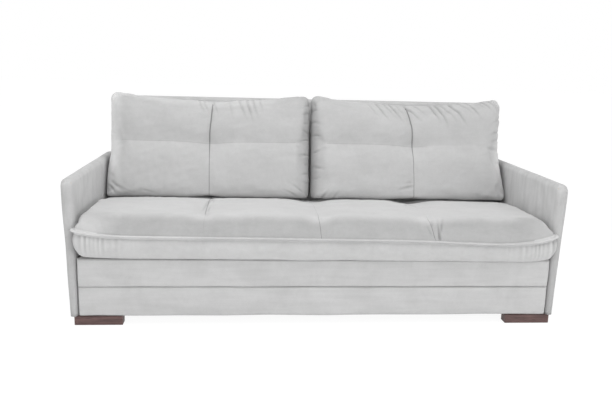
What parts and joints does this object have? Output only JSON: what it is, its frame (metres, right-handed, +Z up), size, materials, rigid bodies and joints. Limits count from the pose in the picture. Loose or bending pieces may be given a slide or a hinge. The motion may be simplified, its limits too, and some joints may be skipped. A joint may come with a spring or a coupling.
{
  "type": "three-seater sofa",
  "caption": "Upholstered sofa with thin flared arms, a channelled pillow-top bench pad, loose cross-seamed back cushions and low wooden block feet, for sitting on.",
  "frame": {"origin": "on the floor, under the middle of the overall box", "axes": "+X to the viewer's right along the width, -Y out of the front, +Z up"},
  "size_m": [2.1092, 0.95, 0.9396],
  "materials": {
    "velvet": "light grey short-pile velvet",
    "foot_wood": "dark reddish-brown stained wood",
    "frame_wood": "bare pale wood",
    "foam": "cream upholstery foam",
    "webbing": "dark woven elastic strap",
    "felt": "grey pressed felt",
    "dust_cloth": "black non-woven cloth",
    "steel": "zinc-plated steel"
  },
  "bodies": {
    "frame": {"front_right_foot": "foot_wood", "front_left_foot": "foot_wood", "rear_right_foot": "foot_wood", "rear_left_foot": "foot_wood", "front_rail": "frame_wood", "rear_rail": "frame_wood", "deck_rail": "frame_wood", "right_end_rail": "frame_wood", "left_end_rail": "frame_wood", "right_stretcher": "frame_wood", "left_stretcher": "frame_wood", "corner_blocks": "frame_wood", "dust_cover": "dust_cloth", "seat_webbing": "webbing", "seat_cross_webbing": "webbing", "deck_felt": "felt", "upper_band_foam": "foam", "upper_band_cover": "velvet", "lower_band_foam": "foam", "lower_band_cover": "velvet", "right_arm_board": "frame_wood", "right_arm_foam": "foam", "right_arm_cover": "velvet", "left_arm_board": "frame_wood", "left_arm_foam": "foam", "left_arm_cover": "velvet", "right_end_back_post": "frame_wood", "left_end_back_post": "frame_wood", "right_inner_back_post": "frame_wood", "left_inner_back_post": "frame_wood", "back_top_rail": "frame_wood", "back_webbing": "webbing", "back_foam": "foam", "back_cover": "velvet", "arm_bolts": "steel", "foot_bolts": "steel"},
    "seat_pad": {"seat_pad_core": "foam", "seat_pad_cover": "velvet"},
    "left_back_cushion": {"left_back_cushion_core": "foam", "left_back_cushion_cover": "velvet"},
    "right_back_cushion": {"right_back_cushion_core": "foam", "right_back_cushion_cover": "velvet"}
  },
  "joints": [
    {"name": "seat_pad_lift", "type": "slide", "parent": "frame", "child": "seat_pad", "axis": [0, 0, 1], "range_m": [0, 0.35]},
    {"name": "left_back_cushion_lift", "type": "slide", "parent": "seat_pad", "child": "left_back_cushion", "axis": [0, 0, 1], "range_m": [0, 0.5]},
    {"name": "right_back_cushion_lift", "type": "slide", "parent": "seat_pad", "child": "right_back_cushion", "axis": [0, 0, 1], "range_m": [0, 0.5]}
  ]
}
